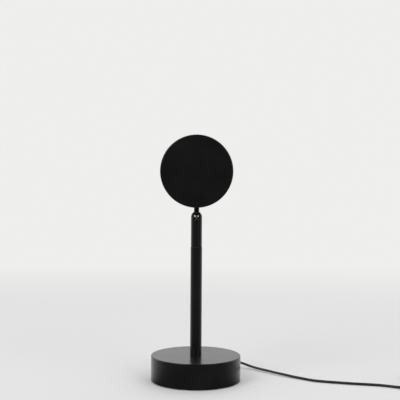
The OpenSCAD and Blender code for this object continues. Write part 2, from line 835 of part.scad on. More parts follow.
module seat_spring() {
    lift = spring_wire_d / 2 + thread_play;
    rise = seat_z - spring_z - 2 * lift;
    steps = spring_turns * spring_steps;
    path = [
        for (i = [0 : steps])
            let (a = 360 * i / spring_steps)
            [spring_r * cos(a), spring_r * sin(a), spring_z + lift + rise * i / steps]
    ];
    echo(spring_least_gap = rise / spring_turns - spring_wire_d);
    color(steel) sweep(path, spring_wire_d / 2, 6);
}

module ball_seat() {
    color(nylon) difference() {
        translate([0, 0, seat_z]) tube(seat_r, seat_bore_d / 2, seat_h);
        translate([0, 0, ball_z]) sphere(r = ball_r + turn_play);
    }
}

// ---------- Ball and neck ----------

module ball_stud() {
    color(steel) difference() {
        union() {
            translate([0, 0, ball_z]) sphere(r = ball_r);
            translate([0, 0, ball_z]) cylinder(d = neck_d, h = neck_top_z - ball_z);
            translate([0, 0, ball_z]) cylinder(d = stud_d, h = stud_top_z - ball_z);
        }
        translate([0, 0, ball_z - ball_r - cut])
            cylinder(d = stud_bore_d, h = stud_top_z - ball_z + ball_r + 2 * cut);
        translate([0, 0, ball_z - ball_r]) cylinder(r1 = flare_r, r2 = stud_bore_d / 2, h = flare_h);
    }
}

module stud_washer() {
    color(steel) translate([0, 0, stud_washer_z])
        tube(stud_nut_af / 2 + washer_rim, stud_d / 2 + thread_play, stud_washer_t);
}

module stud_nut() {
    color(steel) translate([0, 0, stud_nut_z]) difference() {
        cylinder(r = stud_nut_af / sqrt(3), h = stud_nut_t, $fn = 6);
        translate([0, 0, -cut]) cylinder(r = stud_d / 2 + thread_play, h = stud_nut_t + 2 * cut);
    }
}

module stud_lead() {
    color(black_rubber) translate([0, 0, ball_z]) cylinder(d = stud_lead_d, h = stud_top_z - ball_z);
}

// ---------- Head ----------

module head_shell() {
    shell_len = shell_front - shell_rear;
    boss_z = head_z - sqrt(pow(head_r, 2) - pow(neck_boss_d / 2, 2)) + boss_sink;
    first_groove = shell_rear + groove_pitch;
    color(black_paint) difference() {
        union() {
            difference() {
                on_head(shell_rear) rotate_extrude() polygon([
                    [0, 0], [head_r - seam_chamfer, 0], [head_r, seam_chamfer],
                    [head_r, shell_len - seam_chamfer], [head_r - seam_chamfer, shell_len], [0, shell_len]
                ]);
                on_head(shell_rear - cut) cylinder(r = head_in_r, h = shell_len + 2 * cut);
                for (i = [0 : groove_count - 1])
                    on_head(first_groove + i * groove_pitch)
                        tube(head_r + cut, head_r - groove_depth, groove_w);
            }
            on_head(rear_shoulder) shoulder();
            on_head(front_shoulder) shoulder();
            translate([0, 0, boss_z]) cylinder(d = neck_boss_d, h = boss_top_z - boss_z);
        }
        translate([0, 0, head_bottom_z - cut])
            cylinder(d = stud_d + 2 * turn_play, h = boss_top_z - head_bottom_z + 2 * cut);
        translate([0, 0, head_bottom_z - cut]) cylinder(d = neck_d + 2 * turn_play, h = spot_depth + cut);
    }
}

// Ring inside the shell that a piece seats against
module shoulder() {
    tube(head_in_r + head_wall / 2, head_in_r - shoulder_h, shoulder_len);
}

module rear_cover() {
    spigot_in_r = spigot_r - spigot_wall;
    profile = concat(
        [[0, 0]],
        arc([head_r - cover_edge_r, cover_edge_r], cover_edge_r, -90, 0, 6),
        [
            [head_r, cover_t - seam_chamfer], [head_r - seam_chamfer, cover_t], [spigot_r, cover_t],
            [spigot_r, sink_rear - head_rear], [spigot_in_r, sink_rear - head_rear],
            [spigot_in_r, cover_t], [0, cover_t]
        ]
    );
    color(black_paint) on_head(head_rear) rotate_extrude() polygon(profile);
}

module heat_sink() {
    fin_circle_r = spigot_r - spigot_wall - fin_gap;
    color(aluminium) difference() {
        on_head() {
            translate([0, 0, sink_rear]) cylinder(r = head_in_r - seat_play, h = sink_t);
            translate([0, 0, rear_shoulder - cut]) cylinder(d = pad_d, h = pad_h + cut);
            for (i = [0 : fin_count - 1]) {
                off = (i - (fin_count - 1) / 2) * fin_pitch;
                half = sqrt(pow(fin_circle_r, 2) - pow(abs(off) + fin_t / 2, 2));
                translate([off - fin_t / 2, -half, sink_rear - fin_h]) cube([fin_t, 2 * half, fin_h + cut]);
            }
        }
        on_head() at_board_screws() translate([0, 0, board_rear - board_screw_grip - blind_gap])
            cylinder(d = board_screw_d + 2 * thread_play, h = board_screw_grip + blind_gap + cut);
    }
}

module at_board_screws() {
    for (side = [-1, 1]) translate([side * board_screw_r, 0, 0]) children();
}

module led_board() {
    color(nylon) difference() {
        on_head(board_rear) cylinder(d = board_d, h = board_t);
        on_head(board_rear - cut) at_board_screws()
            cylinder(d = board_screw_d + 2 * hole_play, h = board_t + 2 * cut);
    }
}

module led_board_screws() {
    color(steel) on_head() at_board_screws() {
        translate([0, 0, board_front]) cylinder(d = board_screw_head_d, h = board_screw_head_t);
        translate([0, 0, board_rear - board_screw_grip])
            cylinder(d = board_screw_d, h = board_screw_grip + board_t + board_screw_head_t / 2);
    }
}

module led_emitter() {
    color(amber) on_head(board_front) {
        translate([-emitter_side / 2, -emitter_side / 2, 0]) cube([emitter_side, emitter_side, emitter_t]);
        intersection() {
            translate([0, 0, emitter_t]) sphere(r = emitter_dome_r);
            translate([0, 0, emitter_t / 2]) cylinder(r = emitter_side / 2, h = 2 * emitter_dome_r);
        }
    }
}

module led_resistors() {
    color(black_plastic) on_head(board_front) for (side = [-1, 1])
        translate([side * resistor_x - resistor.x / 2, resistor_edge - board_d / 2, 0]) cube(resistor);
}

// Wire from the neck up to the board's lower edge, past the notch in the condenser holder
module head_lead() {
    on_board = 2;
    top_z = head_z - board_d / 2 + on_board;
    wire_y = board_front + head_lead_d / 2 + seat_play;
    foot_z = stud_top_z + seat_play;
    s_curve = [[0, 0], [0, 0.15], [0.15, 0.3], [0.5, 0.45], [0.85, 0.6], [1, 0.75], [1, 1]];
    path = [for (p = s_curve) [0, p.x * wire_y, foot_z + p.y * (top_z - foot_z)]];
    color(black_rubber) sweep(path, head_lead_d / 2, 8, [1, 0, 0]);
}

module condenser_holder() {
    lens_pocket = condenser_d / 2 + seat_play;
    skirt_front = condenser_rear - condenser_seat_t;
    profile = [
        [holder_in_r, board_rear], [holder_r, board_rear], [holder_r, holder_front],
        [filter_r + seat_play, holder_front], [filter_r + seat_play, filter_rear], [lens_pocket, filter_rear],
        [lens_pocket, condenser_rear], [condenser_d / 2 - ledge_w, condenser_rear],
        [condenser_d / 2 - ledge_w, skirt_front], [holder_in_r, skirt_front]
    ];
    notch_w = head_lead_d + 2 * notch_slack;
    color(black_plastic) difference() {
        on_head() rotate_extrude() polygon(profile);
        translate([-notch_w / 2, board_rear - cut, head_z - holder_r - cut])
            cube([notch_w, board_t + head_lead_d + notch_slack + cut, holder_r - holder_in_r + 2 * cut]);
    }
}

// Flat on the side of the light source, domed in front
module lens_solid(r, rim_t, dome_h) {
    ball = cap_r(r, dome_h);
    cylinder(r = r, h = rim_t);
    intersection() {
        translate([0, 0, rim_t + dome_h - ball]) sphere(r = ball);
        translate([0, 0, rim_t / 2]) cylinder(r = r, h = dome_h + rim_t);
    }
}

module condenser_lens() {
    color(clear) on_head(condenser_rear) lens_solid(condenser_d / 2, condenser_rim_t, condenser_dome_h);
}

module colour_filter() {
    color(amber) on_head(filter_rear) cylinder(r = filter_r, h = filter_t);
}

// Black funnel from the condenser holder out to the front lens
module light_baffle() {
    profile = [
        [baffle_throat_r, baffle_rear], [baffle_throat_r + baffle_wall, baffle_rear],
        [baffle_throat_r + baffle_wall, holder_front],
        [baffle_mouth_r + baffle_wall, front_shoulder + shoulder_len],
        [head_in_r - seat_play, front_shoulder + shoulder_len], [head_in_r - seat_play, baffle_front],
        [baffle_mouth_r, baffle_front], [filter_r - filter_hold, holder_front + filter_hold_t],
        [filter_r - filter_hold, holder_front], [baffle_throat_r, holder_front]
    ];
    color(black_plastic) on_head() rotate_extrude() polygon(profile);
}

module lens_gasket() {
    color(black_rubber) on_head(baffle_front) tube(lens_r, lens_r - lens_lip_w, gasket_t);
}

module front_lens() {
    dome_r = lens_open_r - seat_play;
    color(amber) on_head(lens_rear) {
        cylinder(r = lens_r, h = lens_rim_t);
        intersection() {
            translate([0, 0, lens_rim_t + lens_dome_h - cap_r(dome_r, lens_dome_h)])
                sphere(r = cap_r(dome_r, lens_dome_h));
            translate([0, 0, lens_rim_t / 2]) cylinder(r = dome_r, h = lens_dome_h + lens_rim_t);
        }
    }
}

module bezel_ring() {
    edge_r = cover_edge_r;
    profile = concat(
        [
            [spigot_r, baffle_front + thread_play], [spigot_r, shell_front],
            [head_r - seam_chamfer, shell_front], [head_r, shell_front + seam_chamfer]
        ],
        arc([head_r - edge_r, head_front - edge_r], edge_r, 0, 90, 6),
        [
            [lens_pocket_r + bezel_flare, head_front], [lens_open_r, lens_lip_front],
            [lens_open_r, lens_rim_front], [lens_pocket_r, lens_rim_front],
            [lens_pocket_r, baffle_front + thread_play]
        ]
    );
    color(black_paint) on_head() rotate_extrude() polygon(profile);
}

// ---------- Cable ----------

module cord_gland() {
    wall_r = gland_d / 2;
    outer = base_d / 2 + thread_play;
    taper = outer + gland_collar_t + gland_step;
    slope = (gland_tip_r - wall_r) / (gland_tip - taper);
    pitch = (gland_tip - taper) / (gland_groove_count + 1);
    profile = concat(
        [
            [cord_r + thread_play, flange_face - flange_t], [flange_r, flange_face - flange_t],
            [flange_r, flange_face], [wall_r, flange_face], [wall_r, outer], [gland_collar_r, outer],
            [gland_collar_r, outer + gland_collar_t], [wall_r, taper]
        ],
        [
            for (i = [1 : gland_groove_count], side = [[-1, 0], [-1, 1], [1, 1], [1, 0]])
                let (x = i * pitch + side[0] * gland_groove_w / 2)
                [wall_r + slope * x - side[1] * gland_groove_depth, taper + x]
        ],
        [[gland_tip_r, gland_tip], [cord_r + thread_play, gland_tip]]
    );
    color(black_rubber) on_exit() rotate_extrude() polygon(profile);
}

module cord_run() {
    color(black_rubber) sweep(cord_route, cord_r, 8);
}

module cord_lead() {
    color(black_rubber) sweep(lead_route, cord_r, 8);
}

module cord_tail() {
    color(black_rubber) sweep(tail_route, cord_r, 8);
}

// Piled turns: each layer spirals in or out, and the climb to the next takes the half turn round its reversal
function coil_point(turn) =
    let (
        layer = min(floor(turn / coil_turns), coil_layers - 1),
        along = turn - layer * coil_turns,
        r = layer % 2 == 0 ? coil_r - along * coil_pitch : coil_in_r + along * coil_pitch,
        nearest = round(turn / coil_turns),
        off = turn - nearest * coil_turns,
        between = nearest > 0 && nearest < coil_layers && abs(off) < coil_climb,
        level = between ? nearest - 0.5 + off / (2 * coil_climb) : layer,
        a = 360 * turn - 90
    )
    [coil_x + r * cos(a), coil_y + r * sin(a), coil_z + level * coil_pitch];

// Least distance between points of a path that lie more than half a turn apart along it
function least_gap(path, apart, d) = min([
    for (i = [0 : len(path) - 1 - apart], j = [i + apart : len(path) - 1]) norm(path[i] - path[j])
]) - d;

module cord_coil() {
    echo(coil_least_gap = least_gap(coil_path, coil_steps / 2, cord_d));
    echo(coil_length = route_len(coil_path), run_length = route_len(cord_route));
    echo(lead_length = route_len(lead_route), tail_length = route_len(tail_route));
    color(black_rubber) sweep(coil_path, cord_r, 6);
}

// Flat strap round the bundle of turns, with its buckle on the outside
module cord_tie() {
    in_x = coil_in_r - cord_r - tie_gap;
    out_x = coil_r + cord_r + tie_gap;
    top_z = coil_top_z + cord_r + tie_gap;
    color(black_plastic) translate([coil_x, coil_y, 0]) rotate([0, 0, tie_angle]) {
        difference() {
            translate([in_x - tie_t, -tie_w / 2, 0]) cube([out_x - in_x + 2 * tie_t, tie_w, top_z + tie_t]);
            translate([in_x, -tie_w, tie_t]) cube([out_x - in_x, 2 * tie_w, top_z - tie_t]);
        }
        translate([out_x + tie_t, -tie_buckle.y / 2, top_z / 2]) cube(tie_buckle);
        translate([out_x + tie_t + tie_buckle.x, -tie_w / 2, top_z / 2 + tie_buckle.z / 2 - tie_t / 2])
            cube([tie_tail, tie_w, tie_t]);
    }
}

// ---------- Switch ----------

module on_switch(z = 0) {
    translate([switch_mid, switch_y, z]) children();
}

// Solid with the switch's outline, drawn in by a chamfer at one of its faces
module switch_solid(inset, z0, z1, chamfer, at_top) {
    full = [switch_len - 2 * inset, switch_w - 2 * inset, switch_end_w - 2 * inset];
    small = [full.x - 2 * chamfer, full.y - 2 * chamfer, full.z - 2 * chamfer];
    low = at_top ? full : small;
    high = at_top ? small : full;
    hull() {
        translate([0, 0, at_top ? z0 : z0 + chamfer])
            linear_extrude(height = z1 - z0 - chamfer) polygon(lozenge(full.x, full.y, full.z));
        translate([0, 0, z0]) linear_extrude(height = z1 - z0)
            polygon(lozenge(small.x, small.y, small.z));
    }
}

// Room for the cable at both ends of the switch
module switch_cord_holes() {
    translate([switch_x - cut, switch_y, switch_z]) rotate([0, 90, 0])
        cylinder(d = cord_d + 2 * thread_play, h = switch_len + 2 * cut);
}

module at_switch_screws(z = 0) {
    for (side = [-1, 1])
        translate([switch_mid + side * switch_screw_at.x, switch_y + switch_screw_at.y, z]) children();
}

module switch_lower_shell() {
    color(black_plastic) difference() {
        union() {
            difference() {
                on_switch() switch_solid(0, 0, switch_z, switch_low_chamfer, false);
                on_switch(switch_wall) linear_extrude(height = switch_z)
                    polygon(lozenge(switch_len - 2 * switch_wall, switch_w - 2 * switch_wall,
                        switch_end_w - 2 * switch_wall));
            }
            at_switch_screws(switch_wall / 2) cylinder(d = switch_post_d, h = switch_z - switch_wall / 2);
        }
        switch_cord_holes();
        at_switch_screws(-cut) cylinder(d = switch_screw_d + 2 * hole_play, h = switch_h);
        at_switch_screws(-cut) cylinder(d = switch_screw_head_d + 2 * hole_play,
            h = switch_screw_sunk + switch_screw_head_t + cut);
    }
}

module switch_upper_shell() {
    post_h = switch_h - switch_wall - switch_post_gap - switch_z;
    color(black_plastic) difference() {
        union() {
            difference() {
                on_switch() switch_solid(0, switch_z, switch_h, switch_top_chamfer, true);
                on_switch() switch_solid(switch_wall, switch_z - cut, switch_h - switch_wall,
                    switch_in_chamfer, true);
            }
            at_switch_screws(switch_z) cylinder(d = switch_post_d, h = post_h + cut);
        }
        switch_cord_holes();
        at_switch_screws(switch_z - cut)
            cylinder(d = switch_screw_d + 2 * thread_play, h = switch_screw_grip + blind_gap + cut);
        on_switch(switch_z) cylinder(d = button_d + 2 * seat_play, h = switch_h);
    }
}

module switch_screws() {
    shank_z = switch_screw_sunk + switch_screw_head_t / 2;
    color(steel) {
        at_switch_screws(switch_screw_sunk) cylinder(d = switch_screw_head_d, h = switch_screw_head_t);
        at_switch_screws(shank_z) cylinder(d = switch_screw_d, h = switch_z + switch_screw_grip - shank_z);
    }
}

// Latching switch block under the button
module switch_block() {
    top_z = switch_h - button_stem - button_travel - button_landing;
    color(nylon) on_switch(switch_wall) translate([-contact_block.x / 2, -contact_block.y / 2, 0])
        cube([contact_block.x, contact_block.y, top_z - switch_wall]);
}

module switch_contacts() {
    color(brass) for (side = [-1, 1])
        on_switch(switch_wall + contact_lift)
            translate([
                side * (contact_block.x + contact_blade.x) / 2 - contact_blade.x / 2, -contact_blade.y, 0
            ]) cube(contact_blade);
}

// The button's top edge is rounded, and a collar keeps it in the shell
module switch_button() {
    r = button_d / 2;
    stem_z = switch_h - button_stem;
    collar_z = switch_h - switch_wall - button_gap;
    top_z = switch_h + button_proud;
    profile = concat(
        [[0, stem_z], [r + button_collar, stem_z], [r + button_collar, collar_z], [r, collar_z]],
        arc([r - button_round, top_z - button_round], button_round, 0, 90, 5),
        [[0, top_z]]
    );
    color(black_plastic) on_switch() rotate_extrude() polygon(profile);
}

// ---------- Plug ----------

// Box along the plug, centred on its axis across it
module plug_box(x, size) {
    translate([x, plug_y - size.y / 2, plug_z - size.z / 2]) cube(size);
}

module plug_overmould() {
    socket = [plug_socket_len + cut, plug_shell_w + 2 * seat_play, plug_shell_h + 2 * seat_play];
    color(black_plastic) difference() {
        union() {
            hull() for (y = [-1, 1], z = [-1, 1])
                translate([
                    plug_body_x0, plug_y + y * (plug_body_w / 2 - plug_round_r),
                    plug_z + z * (plug_body_h / 2 - plug_round_r)
                ]) rotate([0, 90, 0]) cylinder(r = plug_round_r, h = plug_body_len, $fn = 24);
            translate([plug_body_x1 - cut, plug_y, plug_z]) rotate([0, 90, 0])
                cylinder(d1 = plug_relief_d, d2 = cord_d + 2 * plug_relief_wall, h = plug_relief_len + cut);
        }
        plug_box(plug_body_x0 - cut, socket);
    }
}

module plug_shell() {
    length = plug_shell_len + plug_socket_len - seat_play;
    color(steel) difference() {
        plug_box(plug_tip_x, [length, plug_shell_w, plug_shell_h]);
        plug_box(plug_tip_x - cut,
            [length + 2 * cut, plug_shell_w - 2 * plug_shell_t, plug_shell_h - 2 * plug_shell_t]);
        for (y = [-1, 1]) translate([0, y * latch_hole_y, 0])
            plug_box(plug_tip_x + latch_hole_x, [latch_hole.x, latch_hole.y, 2 * plug_shell_h]);
    }
}

module plug_tongue() {
    w = plug_shell_w - 2 * plug_shell_t - 2 * seat_play;
    length = plug_shell_len + plug_socket_len - tongue_start - seat_play;
    color(nylon) translate([plug_tip_x + tongue_start, plug_y - w / 2, plug_floor_z])
        cube([length, w, tongue_t]);
}

module plug_contacts() {
    color(brass) for (i = [-1.5 : 1 : 1.5])
        translate([
            plug_tip_x + plug_contact_start, plug_y + i * plug_contact_pitch - plug_contact.y / 2,
            plug_floor_z + tongue_t
        ]) cube(plug_contact);
}

base_shell();
ballast();
bottom_plate();
bottom_plate_screws();
foot_pad();
base_nipple();
lock_washer();
nipple_nut();
cord_clamp();
cord_clamp_screws();
inner_cord();
splice_sleeve();
pole_lead();
pole_tube();
pole_top_bush();
stop_pin();
slip_washer();
swivel_screw();
wave_washer();
socket_barrel();
barrel_plug();
spring_washer();
seat_spring();
ball_seat();
ball_stud();
stud_washer();
stud_nut();
stud_lead();
head_shell();
rear_cover();
heat_sink();
led_board();
led_board_screws();
led_emitter();
led_resistors();
head_lead();
condenser_holder();
condenser_lens();
colour_filter();
light_baffle();
lens_gasket();
front_lens();
bezel_ring();
cord_gland();
cord_run();
switch_lower_shell();
switch_upper_shell();
switch_screws();
switch_block();
switch_contacts();
switch_button();
cord_lead();
cord_coil();
cord_tie();
cord_tail();
plug_overmould();
plug_shell();
plug_tongue();
plug_contacts();
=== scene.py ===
import json
import math

import bmesh
import bpy
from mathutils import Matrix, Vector


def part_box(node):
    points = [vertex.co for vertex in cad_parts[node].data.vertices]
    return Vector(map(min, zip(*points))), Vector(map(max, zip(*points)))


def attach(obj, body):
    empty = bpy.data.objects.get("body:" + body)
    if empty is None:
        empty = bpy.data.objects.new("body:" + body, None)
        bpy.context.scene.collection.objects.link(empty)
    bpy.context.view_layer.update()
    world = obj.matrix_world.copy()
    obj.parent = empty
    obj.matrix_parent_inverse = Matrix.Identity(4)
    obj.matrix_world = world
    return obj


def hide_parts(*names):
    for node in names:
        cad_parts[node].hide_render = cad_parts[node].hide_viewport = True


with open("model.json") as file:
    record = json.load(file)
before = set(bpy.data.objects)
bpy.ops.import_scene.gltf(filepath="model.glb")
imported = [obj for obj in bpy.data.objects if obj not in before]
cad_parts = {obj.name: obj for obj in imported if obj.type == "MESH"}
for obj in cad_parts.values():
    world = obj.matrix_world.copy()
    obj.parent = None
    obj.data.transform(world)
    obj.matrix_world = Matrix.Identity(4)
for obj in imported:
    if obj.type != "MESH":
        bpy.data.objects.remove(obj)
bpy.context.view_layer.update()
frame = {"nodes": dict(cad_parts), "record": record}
nodes = frame["nodes"]

# ---------- Camera ----------

CAMERA_AT = (0.00324, -0.850, 0.2007)
CAMERA_PITCH_DEG = -1.31
CAMERA_ROLL_DEG = -0.34
LENS_MM = 76.35
SENSOR_MM = 36.0
CLIP_START = 0.01


def make_camera():
    data = bpy.data.cameras.new("camera")
    data.sensor_fit = "HORIZONTAL"
    data.sensor_width = SENSOR_MM
    data.lens = LENS_MM
    data.clip_start = CLIP_START
    camera = bpy.data.objects.new("camera", data)
    camera.location = CAMERA_AT
    camera.rotation_euler = (math.radians(90 + CAMERA_PITCH_DEG),
                             math.radians(CAMERA_ROLL_DEG), 0)
    bpy.context.collection.objects.link(camera)
    bpy.context.scene.camera = camera


make_camera()

# ---------- Mesh tools ----------


def add_mesh(name, skins, smooth_deg=35):
    """One mesh object from skins of (points in metres, faces), smooth up to an angle."""
    verts, faces = [], []
    for points, sides in skins:
        faces += [tuple(len(verts) + k for k in side) for side in sides]
        verts += [tuple(p) for p in points]
    mesh = bpy.data.meshes.new(name)
    mesh.from_pydata(verts, [], faces)
    bm = bmesh.new()
    bm.from_mesh(mesh)
    bmesh.ops.recalc_face_normals(bm, faces=bm.faces)
    bm.to_mesh(mesh)
    bm.free()
    piece = bpy.data.objects.new(name, mesh)
    bpy.context.collection.objects.link(piece)
    mesh.shade_smooth()
    mesh.set_sharp_from_angle(angle=math.radians(smooth_deg))
    return piece


def skin(rings, closed=False):
    """A skin over rings of equal length, with flat ends unless the last ring joins the first."""
    n = len(rings[0])
    count = len(rings)
    sides = []
    for i in range(count if closed else count - 1):
        a, b = i * n, (i + 1) % count * n
        sides += [(a + k, a + (k + 1) % n, b + (k + 1) % n, b + k) for k in range(n)]
    if not closed:
        last = (count - 1) * n
        sides += [tuple(range(n)), tuple(range(last + n - 1, last - 1, -1))]
    return [p for ring in rings for p in ring], sides


def arc(x, y, radius, start, end, steps):
    """Points along an arc whose angles are in degrees."""
    return [(x + radius * math.cos(a), y + radius * math.sin(a))
            for a in (math.radians(start + (end - start) * k / steps) for k in range(steps + 1))]


def turned(foot, axis, profile, sides=64):
    """The skin of a turned piece, from points of (distance along its axis, radius)."""
    foot, axis = Vector(foot), Vector(axis).normalized()
    side = axis.orthogonal().normalized()
    up = axis.cross(side)
    turn = [2 * math.pi * k / sides for k in range(sides)]
    return skin([[foot + axis * along + radius * (math.cos(a) * side + math.sin(a) * up)
                  for a in turn] for along, radius in profile])


def rounded_rect(width, height, radius, steps=5):
    """Points round a rectangle with rounded corners, centred on the origin."""
    w, h = width / 2 - radius, height / 2 - radius
    corners = ((w, h, 0), (-w, h, 90), (-w, -h, 180), (w, -h, 270))
    return [p for x, y, start in corners for p in arc(x, y, radius, start, start + 90, steps)]


def smooth_line(points, steps):
    """A smooth line through the points, with a number of steps from each one to the next."""
    points = [Vector(p) for p in points]
    last = len(points) - 1
    gaps = [(b - a).length for a, b in zip(points, points[1:])]
    slopes = [(b - a) / gap for a, b, gap in zip(points, points[1:], gaps)]
    tangents = [slopes[0]]
    for i in range(1, last):
        before, after = gaps[i - 1], gaps[i]
        tangents.append((slopes[i - 1] * after + slopes[i] * before) / (before + after))
    tangents.append(slopes[-1])
    line = []
    for i in range(last):
        for k in range(steps):
            t = k / steps
            rise = t * t * (3 - 2 * t)
            leave, arrive = t * (1 - t) ** 2, t * t * (t - 1)
            line.append(points[i].lerp(points[i + 1], rise)
                        + (tangents[i] * leave + tangents[i + 1] * arrive) * gaps[i])
    return line + [points[last]]


def rings_along(line, radius, sides):
    """Round rings square to a line, one at each of its points."""
    last = len(line) - 1
    side = None
    rings = []
    for i, point in enumerate(line):
        ahead = (line[min(i + 1, last)] - line[max(i - 1, 0)]).normalized()
        side = ahead.orthogonal() if side is None else side
        side = (side - ahead * side.dot(ahead)).normalized()
        up = ahead.cross(side)
        rings.append([point + radius * (math.cos(a) * side + math.sin(a) * up)
                      for a in (2 * math.pi * k / sides for k in range(sides))])
    return rings


# ---------- Cords ----------

CORD_D = 0.0026
CORD_SIDES = 14
CORD_EXIT = (0.033, 0.044, 0.008)
SWITCH_X0, SWITCH_X1 = 0.216, 0.268
SWITCH_Y, SWITCH_Z = -0.040, 0.006
SWITCH_ENTRY = 0.0015
LAMP_CORD_STEPS, PLUG_CORD_STEPS = 5, 2

CORD_ROUTE = [
    (0.033, 0.044, 0.008), (0.036, 0.048, 0.008), (0.0395, 0.0515, 0.0078), (0.0435, 0.0545, 0.007),
    (0.0485, 0.0558, 0.0056), (0.0535, 0.0548, 0.0041), (0.0585, 0.0515, 0.0029),
    (0.063, 0.047, 0.0024), (0.0675, 0.042, 0.0023), (0.072, 0.0368, 0.0023),
    (0.077, 0.0313, 0.0023), (0.082, 0.0258, 0.0022), (0.0875, 0.0205, 0.0021),
    (0.093, 0.0155, 0.0019), (0.0985, 0.0105, 0.0017), (0.104, 0.006, 0.0016),
    (0.1095, 0.0015, 0.0015), (0.115, -0.0028, 0.0014), (0.1215, -0.0068, 0.0014),
    (0.1285, -0.0093, 0.0014), (0.1355, -0.0116, 0.0014), (0.1425, -0.0136, 0.0014),
    (0.1495, -0.0156, 0.0014), (0.1565, -0.0175, 0.0014), (0.1635, -0.019, 0.0014),
    (0.1705, -0.0205, 0.0014), (0.1775, -0.0222, 0.0014), (0.1845, -0.0247, 0.0014),
    (0.191, -0.028, 0.0014), (0.197, -0.0316, 0.0016), (0.202, -0.035, 0.0024),
    (0.206, -0.0375, 0.0038), (0.2095, -0.0393, 0.0052), (0.213, -0.040, 0.006),
    (0.216, -0.040, 0.006),
]
LEAD_ROUTE = [
    (0.268, -0.040, 0.006), (0.271, -0.040, 0.006), (0.2755, -0.040, 0.0051),
    (0.280, -0.040, 0.0037), (0.284, -0.040, 0.0026), (0.288, -0.040, 0.0022),
    (0.291, -0.040, 0.0022),
]
TAIL_ROUTE = [
    (0.291, 0, 0.01135), (0.288, 0, 0.01135), (0.283, 0.0003, 0.0106), (0.278, 0.0011, 0.0086),
    (0.273, 0.0023, 0.0062), (0.268, 0.0037, 0.0044), (0.2625, 0.0052, 0.0037),
    (0.256, 0.006, 0.004), (0.252, 0.006, 0.004),
]

COIL_AT = (0.294, -0.020)
COIL_Z = 0.0022
COIL_R = 0.020
COIL_TURNS = 3.125
COIL_LAYERS = 4
COIL_PITCH = 0.00305
COIL_CLIMB = 0.25
COIL_STEPS = 24


def coil_point(turn):
    """A point of the piled coil: layers spiral in and out, and climb where the spiral reverses."""
    layer = min(int(turn / COIL_TURNS), COIL_LAYERS - 1)
    along = turn - layer * COIL_TURNS
    inner = COIL_R - COIL_TURNS * COIL_PITCH
    r = COIL_R - along * COIL_PITCH if layer % 2 == 0 else inner + along * COIL_PITCH
    nearest = round(turn / COIL_TURNS)
    off = turn - nearest * COIL_TURNS
    climbs = 0 < nearest < COIL_LAYERS and abs(off) < COIL_CLIMB
    level = nearest - 0.5 + off / (2 * COIL_CLIMB) if climbs else layer
    a = 2 * math.pi * turn - math.pi / 2
    return (COIL_AT[0] + r * math.cos(a), COIL_AT[1] + r * math.sin(a), COIL_Z + level * COIL_PITCH)


def make_cord(name, points, steps, *replaced):
    """A round cord along a smooth line through the points, and that line."""
    line = smooth_line(points, steps)
    cord = add_mesh(name, [skin(rings_along(line, CORD_D / 2, CORD_SIDES))])
    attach(cord, "stand")
    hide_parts(*replaced)
    return cord, line


lamp_cord, lamp_line = make_cord(
    "lamp_cord", CORD_ROUTE + [(SWITCH_X0 + SWITCH_ENTRY, SWITCH_Y, SWITCH_Z)], LAMP_CORD_STEPS,
    "cord_run")
coil = [coil_point(i / COIL_STEPS)
        for i in range(round(COIL_TURNS * COIL_LAYERS * COIL_STEPS) + 1)]
plug_cord, plug_line = make_cord(
    "plug_cord", [(SWITCH_X1 - SWITCH_ENTRY, SWITCH_Y, SWITCH_Z)] + LEAD_ROUTE + coil + TAIL_ROUTE,
    PLUG_CORD_STEPS, "cord_lead", "cord_coil", "cord_tail")

# ---------- Finishes ----------


def new_tree(name):
    material = bpy.data.materials.new(name)
    material.use_nodes = True
    tree = material.node_tree
    return material, tree, tree.nodes["Principled BSDF"]


def place(tree, stretch=(1, 1, 1)):
    """The object's own coordinates in metres; a pattern is finer along a stretched axis."""
    coords = tree.nodes.new("ShaderNodeTexCoord")
    mapping = tree.nodes.new("ShaderNodeMapping")
    mapping.inputs["Scale"].default_value = stretch
    tree.links.new(coords.outputs["Object"], mapping.inputs["Vector"])
    return mapping.outputs["Vector"]


def noise(tree, vector, scale, detail=3.0):
    """Noise whose patches are about 1 / scale metres across."""
    node = tree.nodes.new("ShaderNodeTexNoise")
    node.inputs["Scale"].default_value = scale
    node.inputs["Detail"].default_value = detail
    tree.links.new(vector, node.inputs["Vector"])
    return node.outputs["Fac"]


def ramp(tree, value, stops):
    """Colours by value, from stops of (position, colour)."""
    node = tree.nodes.new("ShaderNodeValToRGB")
    elements = node.color_ramp.elements
    for position, color in stops[2:]:
        elements.new(position)
    for element, (position, color) in zip(elements, stops):
        element.position = position
        element.color = (*color, 1)
    tree.links.new(value, node.inputs["Fac"])
    return node.outputs["Color"]


def spread(tree, value, low, high, start=0.3, end=0.7):
    node = tree.nodes.new("ShaderNodeMapRange")
    node.inputs["From Min"].default_value = start
    node.inputs["From Max"].default_value = end
    node.inputs["To Min"].default_value = low
    node.inputs["To Max"].default_value = high
    tree.links.new(value, node.inputs["Value"])
    return node.outputs["Result"]


def raise_grain(tree, shader, height, distance):
    bump = tree.nodes.new("ShaderNodeBump")
    bump.inputs["Strength"].default_value = 1.0
    bump.inputs["Distance"].default_value = distance
    tree.links.new(height, bump.inputs["Height"])
    tree.links.new(bump.outputs["Normal"], shader.inputs["Normal"])


def finish(name, dark, light, rough, metallic=0.0, patches=70, smudges=45, grain=1400,
           grain_h=0.00001, stretch=(1, 1, 1), **constants):
    """Two shades in soft patches, roughness from low to high in smudges, and a fine grain."""
    material, tree, shader = new_tree(name)
    shader.inputs["Metallic"].default_value = metallic
    for socket, value in constants.items():
        shader.inputs[socket.replace("_", " ")].default_value = value
    vector = place(tree, stretch)
    tree.links.new(ramp(tree, noise(tree, vector, patches), [(0.3, dark), (0.7, light)]),
                   shader.inputs["Base Color"])
    tree.links.new(spread(tree, noise(tree, vector, smudges, 5), *rough),
                   shader.inputs["Roughness"])
    raise_grain(tree, shader, noise(tree, vector, grain, 2), grain_h)
    return material


